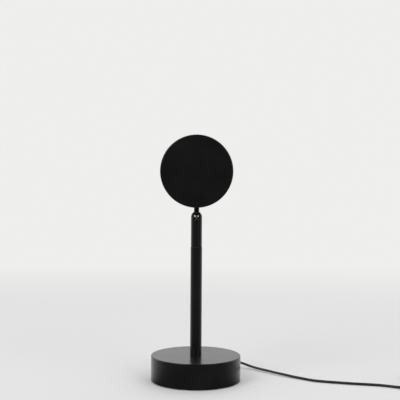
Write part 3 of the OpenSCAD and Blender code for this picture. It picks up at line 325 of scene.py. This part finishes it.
BALL_Z = 0.16445
BALL_TOP_Z = BALL_Z + 0.0040
NECK_FADE = 0.0003
BALL_COLOR, NECK_COLOR = (0.44, 0.43, 0.425), (0.020, 0.020, 0.020)
BALL_ROUGH, NECK_ROUGH = (0.08, 0.16), (0.28, 0.38)
SCUFFS, SCUFF_H = 900, 0.000002


def ball_and_neck():
    """Polished ball, and a blackened neck above it."""
    material, tree, shader = new_tree("ball_steel")
    shader.inputs["Metallic"].default_value = 1.0
    vector = place(tree)
    split = tree.nodes.new("ShaderNodeSeparateXYZ")
    tree.links.new(vector, split.inputs["Vector"])
    scuffed = noise(tree, vector, SCUFFS)
    edge = spread(tree, split.outputs["Z"], 0.0, 1.0, BALL_TOP_Z, BALL_TOP_Z + NECK_FADE)
    tree.links.new(ramp(tree, edge, [(0.0, BALL_COLOR), (1.0, NECK_COLOR)]),
                   shader.inputs["Base Color"])
    rough = tree.nodes.new("ShaderNodeMix")
    tree.links.new(edge, rough.inputs["Factor"])
    tree.links.new(spread(tree, scuffed, *BALL_ROUGH), rough.inputs["A"])
    tree.links.new(spread(tree, scuffed, *NECK_ROUGH), rough.inputs["B"])
    tree.links.new(rough.outputs["Result"], shader.inputs["Roughness"])
    raise_grain(tree, shader, scuffed, SCUFF_H)
    return material


HEAD_AXIS_Z = (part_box("head_shell")[0][2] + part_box("head_shell")[1][2]) / 2


def from_axis(tree):
    """Distance from the head's axis, which runs along Y."""
    vector = place(tree)
    flat = tree.nodes.new("ShaderNodeVectorMath")
    flat.operation = "MULTIPLY_ADD"
    flat.inputs[1].default_value = (1, 0, 1)
    flat.inputs[2].default_value = (0, 0, -HEAD_AXIS_Z)
    length = tree.nodes.new("ShaderNodeVectorMath")
    length.operation = "LENGTH"
    tree.links.new(vector, flat.inputs[0])
    tree.links.new(flat.outputs["Vector"], length.inputs[0])
    return vector, length.outputs["Value"]


GLASS_IOR = 1.5
FILTER_R = 0.0125
# Share of light let through, and strength of the filter's painted glow that stands in for the LED
# shining through
FILTER_CLEAR, FILTER_PAINTED_GLOW = 0.6, 0.8
FILTER_RINGS = [
    (0.0, (1.0, 0.62, 0.16)), (0.42, (1.0, 0.36, 0.04)), (0.66, (0.92, 0.13, 0.04)),
    (0.84, (0.52, 0.03, 0.12)), (1.0, (0.16, 0.03, 0.28)),
]


def colour_film():
    """Coated glass in rings from yellow through orange to a violet rim, glowing with painted light
    for the LED behind.
    """
    material, tree, shader = new_tree("filter")
    shader.inputs["Transmission Weight"].default_value = FILTER_CLEAR
    shader.inputs["IOR"].default_value = GLASS_IOR
    # Painted glow: the film itself emits, in place of the LED's light passing through it
    shader.inputs["Emission Strength"].default_value = FILTER_PAINTED_GLOW
    vector, radius = from_axis(tree)
    rings = ramp(tree, spread(tree, radius, 0.0, 1.0, 0.0, FILTER_R), FILTER_RINGS)
    # The ring colours serve both as the coating's colour and as its painted glow
    for socket in ("Base Color", "Emission Color"):
        tree.links.new(rings, shader.inputs[socket])
    tree.links.new(spread(tree, noise(tree, vector, 400), 0.03, 0.08), shader.inputs["Roughness"])
    return material


LENS_SPECULAR = 0.3
LENS_TINT_FROM, LENS_TINT_TO = 0.006, 0.029
LENS_RINGS = [(0.0, (1.0, 0.95, 0.88)), (0.6, (1.0, 0.86, 0.70)), (1.0, (0.95, 0.70, 0.52))]


def coated_lens():
    """Clear glass with a warm coating that deepens towards the rim."""
    material, tree, shader = new_tree("lens_glass")
    shader.inputs["Transmission Weight"].default_value = 1.0
    shader.inputs["IOR"].default_value = GLASS_IOR
    shader.inputs["Specular IOR Level"].default_value = LENS_SPECULAR
    vector, radius = from_axis(tree)
    rings = spread(tree, radius, 0.0, 1.0, LENS_TINT_FROM, LENS_TINT_TO)
    tree.links.new(ramp(tree, rings, LENS_RINGS), shader.inputs["Base Color"])
    tree.links.new(spread(tree, noise(tree, vector, 120, 5), 0.0, 0.03),
                   shader.inputs["Roughness"])
    return material


SPECIAL_FINISHES = {"ball_steel": ball_and_neck, "filter": colour_film, "lens_glass": coated_lens}

# Marks of the lathe run round an upright axis, and those of the rolling mill across Y
TURNED = (1, 1, 14)
ROLLED = (1, 9, 1)

PLAIN_FINISHES = {
    "black_paint": dict(dark=(0.004, 0.004, 0.0045), light=(0.007, 0.007, 0.0075),
                        rough=(0.20, 0.28), patches=40, smudges=22, grain=1100,
                        grain_h=0.000004, Specular_IOR_Level=0.38),
    "iron": dict(dark=(0.10, 0.10, 0.105), light=(0.22, 0.215, 0.21), rough=(0.55, 0.75),
                 metallic=0.8, grain=500, grain_h=0.00008),
    "zinc_steel": dict(dark=(0.50, 0.51, 0.53), light=(0.68, 0.68, 0.69), rough=(0.24, 0.40),
                       metallic=1.0, patches=260, grain=900, stretch=ROLLED),
    "foot_foam": dict(dark=(0.022, 0.022, 0.022), light=(0.040, 0.040, 0.039),
                      rough=(0.82, 0.95), patches=900, grain=2200, grain_h=0.00009),
    "brass": dict(dark=(0.58, 0.40, 0.15), light=(0.78, 0.60, 0.28), rough=(0.20, 0.36),
                  metallic=1.0, patches=200, stretch=TURNED),
    "black_plastic": dict(dark=(0.008, 0.008, 0.0085), light=(0.014, 0.014, 0.0145),
                          rough=(0.42, 0.55), patches=120, grain=2600, grain_h=0.00003),
    "gloss_black": dict(dark=(0.006, 0.006, 0.0065), light=(0.010, 0.010, 0.0105),
                        rough=(0.12, 0.22), patches=150, grain=1200, grain_h=0.000003),
    "cable": dict(dark=(0.006, 0.006, 0.006), light=(0.011, 0.011, 0.011), rough=(0.34, 0.48),
                  patches=180, smudges=90, grain=2400, grain_h=0.00002),
    "nylon": dict(dark=(0.72, 0.71, 0.65), light=(0.84, 0.83, 0.78), rough=(0.45, 0.6),
                  patches=300, Subsurface_Weight=0.1, Subsurface_Scale=0.002),
    "aluminium": dict(dark=(0.60, 0.61, 0.62), light=(0.78, 0.78, 0.79), rough=(0.28, 0.42),
                      metallic=1.0, patches=220, grain=1000, stretch=ROLLED),
    "board_white": dict(dark=(0.78, 0.78, 0.75), light=(0.86, 0.86, 0.84), rough=(0.30, 0.42),
                        patches=500),
    # Yellow phosphor under a clear dome
    "emitter": dict(dark=(0.92, 0.66, 0.10), light=(1.0, 0.80, 0.22), rough=(0.10, 0.22),
                    patches=1500, smudges=900, Coat_Weight=0.8),
    "clear_optic": dict(dark=(0.94, 0.96, 0.96), light=(1.0, 1.0, 1.0), rough=(0.0, 0.04),
                        grain_h=0.0, Transmission_Weight=1.0, IOR=GLASS_IOR),
    "silicone": dict(dark=(0.05, 0.05, 0.05), light=(0.08, 0.08, 0.08), rough=(0.5, 0.65),
                     patches=300),
    "plug_steel": dict(dark=(0.48, 0.47, 0.455), light=(0.60, 0.59, 0.575), rough=(0.28, 0.42),
                       metallic=1.0, patches=350, grain=1400, stretch=ROLLED),
}

finishes = {slot: finish(slot, **look) for slot, look in PLAIN_FINISHES.items()}
finishes.update((slot, make()) for slot, make in SPECIAL_FINISHES.items())


def dress(piece, slot):
    """Gives a new piece the finish of its slot."""
    piece.data.materials.clear()
    piece.data.materials.append(finishes[slot])
    return piece


def dress_frame():
    """Gives each CAD node the finish of its slot."""
    for part in frame["record"]["subparts"]:
        mesh = nodes[part["node"]].data
        mesh.materials.clear()
        mesh.materials.append(finishes[part["material_slot"]])


dress_frame()
dress(lamp_cord, "cable")
dress(plug_cord, "cable")

# ---------- Detailed pieces, with sizes in millimetres ----------

MM = 0.001


def mm(points):
    """Points in metres, from points in millimetres."""
    return [tuple(v * MM for v in p) for p in points]


def stand_in(piece, body, slot, *replaced):
    """Puts a detailed piece on its body, in place of the nodes that it stands for."""
    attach(piece, body)
    if replaced:
        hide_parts(*replaced)
    return dress(piece, slot)


WALL_X = 45.05
RELIEF_AXIS = (0.6, 0.8, 0)
RELIEF_FOOT, RELIEF_TAPER, RELIEF_TIP = 43.4, 47.05, 55.0
RELIEF_R, RELIEF_TIP_R, RELIEF_TIP_EDGE = 3.4, 2.0, 0.3
COLLAR_R, COLLAR_T, COLLAR_EDGE, COLLAR_BEVEL = 4.0, 1.6, 0.5, 0.15
COLLAR_BACK = (46.85, 3.42)
RELIEF_GROOVES = 3
# Distance from a groove's middle, and depth
RELIEF_GROOVE = ((-0.65, 0), (-0.5, 0.08), (-0.38, 0.38), (0.38, 0.38), (0.5, 0.08), (0.65, 0))


def make_strain_relief():
    """The grooved strain relief in the base's wall, with a round collar."""
    slope = (RELIEF_TIP_R - RELIEF_R) / (RELIEF_TIP - RELIEF_TAPER)
    pitch = (RELIEF_TIP - RELIEF_TAPER) / (RELIEF_GROOVES + 1)
    profile = [(RELIEF_FOOT, RELIEF_R), (WALL_X, RELIEF_R), (WALL_X, COLLAR_R - COLLAR_BEVEL),
               (WALL_X + COLLAR_BEVEL, COLLAR_R)]
    profile += arc(WALL_X + COLLAR_T - COLLAR_EDGE, COLLAR_R - COLLAR_EDGE, COLLAR_EDGE, 90, 0, 4)
    profile.append(COLLAR_BACK)
    for i in range(1, RELIEF_GROOVES + 1):
        for step, depth in RELIEF_GROOVE:
            x = i * pitch + step
            profile.append((RELIEF_TAPER + x, RELIEF_R + slope * x - depth))
    profile += arc(RELIEF_TIP - RELIEF_TIP_EDGE, RELIEF_TIP_R - RELIEF_TIP_EDGE, RELIEF_TIP_EDGE,
                   90, 0, 3)
    profile.append((RELIEF_TIP, CORD_D / MM / 2))
    piece = add_mesh("strain_relief", [turned((0, 0, CORD_EXIT[2]), RELIEF_AXIS, mm(profile))])
    return stand_in(piece, "stand", "cable", "cord_gland")


SWITCH_LEN, SWITCH_W, SWITCH_END_W, SWITCH_H = 52.0, 20.0, 11.0, 13.0
SWITCH_JOIN, SWITCH_WALL, SWITCH_TOP_R, SWITCH_INNER_CUT = 6.0, 1.5, 2.0, 3.0
BUTTON_HOLE_R = 4.6
# Inset, and height above the join
JOIN_GROOVE = ((0.3, 0), (0.3, 0.15), (0, 0.4))
# Radius, and height above the top
BUTTON_RIM = ((6.2, 0), (5.9, -0.25), (5.6, -0.25), (5.3, 0), (4.85, 0.12), (BUTTON_HOLE_R, 0),
              (BUTTON_HOLE_R, -SWITCH_WALL))


def lozenge(inset, steps=12, between=12):
    """Outline of the switch: a wide middle that narrows along straight sides to round ends."""
    mid_r, end_r = SWITCH_W / 2 - inset, SWITCH_END_W / 2 - inset
    reach = SWITCH_LEN / 2 - inset - end_r
    lean = math.degrees(math.acos((mid_r - end_r) / reach))
    arcs = [arc(reach, 0, end_r, -lean, lean, steps),
            arc(0, 0, mid_r, lean, 180 - lean, steps),
            arc(-reach, 0, end_r, 180 - lean, 180 + lean, steps),
            arc(0, 0, mid_r, 180 + lean, 360 - lean, steps)]
    outline = []
    for bend, after in zip(arcs, arcs[1:] + arcs[:1]):
        (x0, y0), (x1, y1) = bend[-1], after[0]
        side = [k / (between + 1) for k in range(1, between + 1)]
        outline += bend + [(x0 + (x1 - x0) * t, y0 + (y1 - y0) * t) for t in side]
    return outline


def make_switch_top():
    """The switch's upper shell: a soft top edge, a groove at the join, a rim round the button."""
    angles = [math.atan2(y, x) for x, y in lozenge(0)]
    outside = [(inset, SWITCH_JOIN + z) for inset, z in JOIN_GROOVE]
    outside += [(SWITCH_TOP_R - x, z)
                for x, z in arc(0, SWITCH_H - SWITCH_TOP_R, SWITCH_TOP_R, 0, 90, 7)]
    inside = [(SWITCH_INNER_CUT, SWITCH_H - SWITCH_WALL),
              (SWITCH_WALL, SWITCH_H - SWITCH_INNER_CUT), (SWITCH_WALL, SWITCH_JOIN)]
    rings = [[(x, y, z) for x, y in lozenge(inset)] for inset, z in outside]
    rings += [[(r * math.cos(a), r * math.sin(a), SWITCH_H + z) for a in angles]
              for r, z in BUTTON_RIM]
    rings += [[(x, y, z) for x, y in lozenge(inset)] for inset, z in inside]
    middle = Vector(((SWITCH_X0 + SWITCH_X1) / 2, SWITCH_Y, 0))
    points, sides = skin([mm(ring) for ring in rings], closed=True)
    piece = add_mesh("switch_top", [([middle + Vector(p) for p in points], sides)])
    return stand_in(piece, "stand", "black_plastic", "switch_upper_shell")


# Distance from the switch's end, and radius
NOSE = ((-1.2, 2.9), (0.1, 2.9), (0.5, 2.75), (0.7, 2.45), (1.1, 2.35), (1.3, 2.6), (1.7, 2.5),
        (1.9, 2.15), (2.3, 2.05), (2.5, 2.3), (2.9, 2.15), (3.1, 1.8), (3.1, CORD_D / MM / 2))
NOSE_SIDES = 32


def make_switch_nose(name, x, way):
    """A short sleeve round the cable where it enters the switch."""
    piece = add_mesh(name, [turned((x, SWITCH_Y, SWITCH_Z), (way, 0, 0), mm(NOSE), NOSE_SIDES)])
    return stand_in(piece, "stand", "cable")


PLUG_X0, PLUG_X1, PLUG_TIP = 224.0, 246.0, 252.0
PLUG_Y, PLUG_Z = 6.0, 4.0
PLUG_W, PLUG_H = 16.0, 8.0
GRIPS, GRIP_FIRST, GRIP_PITCH = 5, 6.5, 2.2
RIBS, RIB_FIRST, RIB_PITCH, RIB_D, RIB_TAPER = 3, 1.2, 1.5, 6.0, 0.75
# Sections of the plug's body: distance from a mark, width, height and corner radius
PLUG_MOUTH = ((7.0, 12.2, 4.7, 0.3), (0.3, 12.2, 4.7, 0.3), (0, 12.8, 5.3, 0.6),
              (0, 14.6, 6.6, 1.3), (0.3, 15.5, 7.5, 1.7), (1.0, PLUG_W, PLUG_H, 2.0))
GRIP = ((-0.6, PLUG_W, PLUG_H, 2.0), (-0.35, 15.4, 7.4, 1.8), (0.35, 15.4, 7.4, 1.8),
        (0.6, PLUG_W, PLUG_H, 2.0))
PLUG_SHOULDER = ((-4.0, PLUG_W, PLUG_H, 2.0), (-2.2, 15.2, PLUG_H, 2.4), (-0.8, 12.4, 7.7, 3.0),
                 (-0.1, 8.6, 6.9, 3.2), (0.2, 6.4, 6.4, 3.2))
PLUG_END = ((-0.2, 3.8, 3.8, 1.9), (0, 3.4, 3.4, 1.7))
# Distance from a rib's start, and how much narrower it is there
RIB = ((0, 0), (0.15, 0.7), (0.55, 0.8), (0.7, 0.3))


def make_plug_body():
    """The plug's moulded body: a pocket for the metal shell, finger grooves and a ribbed tail."""
    groups = [(PLUG_X0, PLUG_MOUTH)]
    groups += [(PLUG_X0 + GRIP_FIRST + GRIP_PITCH * i, GRIP) for i in range(GRIPS)]
    groups.append((PLUG_X1, PLUG_SHOULDER))
    for i in range(RIBS):
        d = RIB_D - RIB_TAPER * i
        rib = [(x, d - less, d - less, (d - less) / 2) for x, less in RIB]
        groups.append((PLUG_X1 + RIB_FIRST + RIB_PITCH * i, rib))
    groups.append((PLUG_TIP, PLUG_END))
    rings = [[(mark + x, PLUG_Y + y, PLUG_Z + z) for y, z in rounded_rect(w, h, r)]
             for mark, sections in groups for x, w, h, r in sections]
    piece = add_mesh("plug_body", [skin([mm(ring) for ring in rings])])
    return stand_in(piece, "stand", "cable", "plug_overmould")


TIE_DEG = 20
TIE_IN, TIE_OUT, TIE_TOP = 8.87, 21.6, 12.95
TIE_T, TIE_W, TIE_BEVEL, TIE_SIDE = 0.6, 4.0, 0.15, 0.12
TIE_BEND_R, TIE_BEND_STEPS = 1.9, 6
LATCH_W, LATCH_H, LATCH_T, LATCH_R, LATCH_LIFT = 5.0, 3.6, 2.4, 0.7, 1.8
# Distance from the band, and how much narrower the latch is there
LATCH = ((-0.1, 0.3), (0.25, 0), (2.1, 0), (LATCH_T, 0.4))
TAIL_LEN, TAIL_STEPS, TAIL_PLAIN = 9.0, 36, 3
TAIL_DROOP, TAIL_NARROWS, TOOTH_GAP = 0.016, 0.25, 0.62


def make_tie():
    """A nylon tie round the bundle of turns: a band, its head with a latch, and a toothed tail."""
    swing = math.radians(TIE_DEG)
    out = Vector((math.cos(swing), math.sin(swing), 0))
    across = Vector((-math.sin(swing), math.cos(swing), 0))
    middle = Vector((*COIL_AT, 0))

    def put(points):
        """Points in the scene, from (outwards, across, up) in the tie's own directions."""
        return [middle + (out * x + across * y + Vector((0, 0, z))) * MM for x, y, z in points]

    w, t = TIE_W / 2, TIE_T / 2
    section = [(-w, TIE_SIDE), (TIE_BEVEL - w, t), (w - TIE_BEVEL, t), (w, TIE_SIDE),
               (w, -TIE_SIDE), (w - TIE_BEVEL, -t), (TIE_BEVEL - w, -t), (-w, -TIE_SIDE)]
    loop = rounded_rect(TIE_OUT - TIE_IN + TIE_T, TIE_TOP, TIE_BEND_R, TIE_BEND_STEPS)
    mid_x, mid_z = (TIE_IN + TIE_OUT) / 2, (TIE_TOP + TIE_T) / 2
    band = []
    for k, (x, z) in enumerate(loop):
        corner, step = divmod(k, TIE_BEND_STEPS + 1)
        a = math.radians(90 * (corner + step / TIE_BEND_STEPS))
        band.append(put([(mid_x + x + math.cos(a) * up, y, mid_z + z + math.sin(a) * up)
                         for y, up in section]))
    head_x, head_z = TIE_OUT + TIE_T, TIE_TOP / 2 + LATCH_LIFT
    head = [put([(head_x + x, y, head_z + z)
                 for y, z in rounded_rect(LATCH_W - less, LATCH_H - less, LATCH_R, 4)])
            for x, less in LATCH]
    tail = []
    for k in range(TAIL_STEPS + 1):
        along = TAIL_LEN * k / TAIL_STEPS
        past = k - (TAIL_STEPS - TAIL_PLAIN)
        thick = TOOTH_GAP if k % 2 and past < 0 else 1.0
        narrow = 1.0 - TAIL_NARROWS * max(past, 0)
        tail.append(put([(head_x + LATCH_T + along, y * narrow,
                          head_z - TAIL_DROOP * along ** 2 + up * (thick if up > 0 else 1))
                         for y, up in section]))
    piece = add_mesh("tie", [skin(band, closed=True), skin(head), skin(tail)])
    return stand_in(piece, "stand", "black_plastic", "cord_tie")


strain_relief = make_strain_relief()
switch_top = make_switch_top()
nose_in = make_switch_nose("switch_nose_in", SWITCH_X0, -1)
nose_out = make_switch_nose("switch_nose_out", SWITCH_X1, 1)
plug_body = make_plug_body()
tie = make_tie()

# ---------- Stage and light ----------

FLOOR_R, FLOOR_SIDES = 6.0, 64
FLOOR_COLOR = (0.80, 0.80, 0.79, 1)
BACKDROP = (0.86, 0.86, 0.85, 1)
WORLD_LIGHT = (0.60, 0.60, 0.61, 1)
GLOSS_FRONT = (0.05, 0.05, 0.052)
GLOSS_BACK = BACKDROP[:3]
GLOSS_DIM_Y, GLOSS_BRIGHT_Y = -0.45, 0.35
FADE_FROM, FADE_TO = 0.5, 1.3
FLOOR_GLOSS = 0.9


def glow(tree, kind, color=(1, 1, 1, 1)):
    """A shader or light of one colour."""
    node = tree.nodes.new(kind)
    node.inputs["Color"].default_value = color
    return node


def room_glow(tree, kind, direction):
    """What gloss mirrors: a room that is bright beyond the lamp and dim behind its viewer."""
    split = tree.nodes.new("ShaderNodeSeparateXYZ")
    tree.links.new(direction, split.inputs["Vector"])
    node = glow(tree, kind)
    turn = spread(tree, split.outputs["Y"], 0.0, 1.0, GLOSS_DIM_Y, GLOSS_BRIGHT_Y)
    tree.links.new(ramp(tree, turn, [(0.0, GLOSS_FRONT), (1.0, GLOSS_BACK)]),
                   node.inputs["Color"])
    return node


def mixed(tree, factor, first, second):
    node = tree.nodes.new("ShaderNodeMixShader")
    tree.links.new(factor, node.inputs["Fac"])
    tree.links.new(first.outputs[0], node.inputs[1])
    tree.links.new(second.outputs[0], node.inputs[2])
    return node


def far_look(tree, path, kind, direction, otherwise):
    """The backdrop to the eye and through glass, the room in gloss, else what lights the lamp."""
    look = mixed(tree, path.outputs["Is Glossy Ray"], otherwise, room_glow(tree, kind, direction))
    for ray in ("Is Transmission Ray", "Is Camera Ray"):
        look = mixed(tree, path.outputs[ray], look, glow(tree, kind, BACKDROP))
    return look


def stage_tree(tree, output):
    """An emptied tree's output, ray and direction nodes."""
    tree.nodes.clear()
    return [tree.nodes.new(kind) for kind in (output, "ShaderNodeLightPath", "ShaderNodeTexCoord")]


def make_floor():
    """A pale floor that passes into the backdrop with distance."""
    turn = [2 * math.pi * k / FLOOR_SIDES for k in range(FLOOR_SIDES)]
    ring = [(FLOOR_R * math.cos(a), FLOOR_R * math.sin(a), 0) for a in turn]
    floor = add_mesh("floor", [(ring, [tuple(range(FLOOR_SIDES))])])
    material = bpy.data.materials.new("floor")
    material.use_nodes = True
    tree = material.node_tree
    out, path, coords = stage_tree(tree, "ShaderNodeOutputMaterial")
    matt = glow(tree, "ShaderNodeBsdfDiffuse", FLOOR_COLOR)
    length = tree.nodes.new("ShaderNodeVectorMath")
    length.operation = "LENGTH"
    toward = tree.nodes.new("ShaderNodeVectorMath")
    toward.operation = "NORMALIZE"
    for node in (length, toward):
        tree.links.new(coords.outputs["Object"], node.inputs[0])
    fade = tree.nodes.new("ShaderNodeMapRange")
    fade.interpolation_type = "SMOOTHSTEP"
    fade.inputs["From Min"].default_value = FADE_FROM
    fade.inputs["From Max"].default_value = FADE_TO
    tree.links.new(length.outputs["Value"], fade.inputs["Value"])
    share = spread(tree, path.outputs["Is Glossy Ray"], 0.0, FLOOR_GLOSS, 0.0, 1.0)
    most = tree.nodes.new("ShaderNodeMath")
    most.operation = "MAXIMUM"
    tree.links.new(fade.outputs["Result"], most.inputs[0])
    tree.links.new(share, most.inputs[1])
    far = far_look(tree, path, "ShaderNodeEmission", toward.outputs["Vector"], matt)
    tree.links.new(mixed(tree, most.outputs[0], matt, far).outputs[0], out.inputs["Surface"])
    floor.data.materials.append(material)


def make_world():
    """The studio's light, with the same far look as the floor."""
    world = bpy.data.worlds.new("studio")
    bpy.context.scene.world = world
    world.use_nodes = True
    tree = world.node_tree
    out, path, coords = stage_tree(tree, "ShaderNodeOutputWorld")
    kind = "ShaderNodeBackground"
    look = far_look(tree, path, kind, coords.outputs["Generated"], glow(tree, kind, WORLD_LIGHT))
    tree.links.new(look.outputs[0], out.inputs["Surface"])


LAMPS = [
    # name, spot, width, height, watts
    ("key", (-1.3, -1.4, 1.3), 1.2, 1.9, 18),
    ("fill", (1.3, -1.4, 1.1), 1.1, 1.8, 10),
    ("back", (0.3, 1.5, 1.5), 2.0, 1.8, 11),
]
LAMP_TARGET = Vector((0, 0, 0.12))


def make_lamps():
    for name, spot, width, height, watts in LAMPS:
        data = bpy.data.lights.new(name, "AREA")
        data.shape = "RECTANGLE"
        data.size = width
        data.size_y = height
        data.energy = watts
        lamp = bpy.data.objects.new(name, data)
        lamp.location = spot
        lamp.rotation_euler = (LAMP_TARGET - Vector(spot)).to_track_quat("-Z", "Y").to_euler()
        bpy.context.collection.objects.link(lamp)


make_floor()
make_world()
make_lamps()
bpy.context.scene.view_settings.view_transform = "Standard"
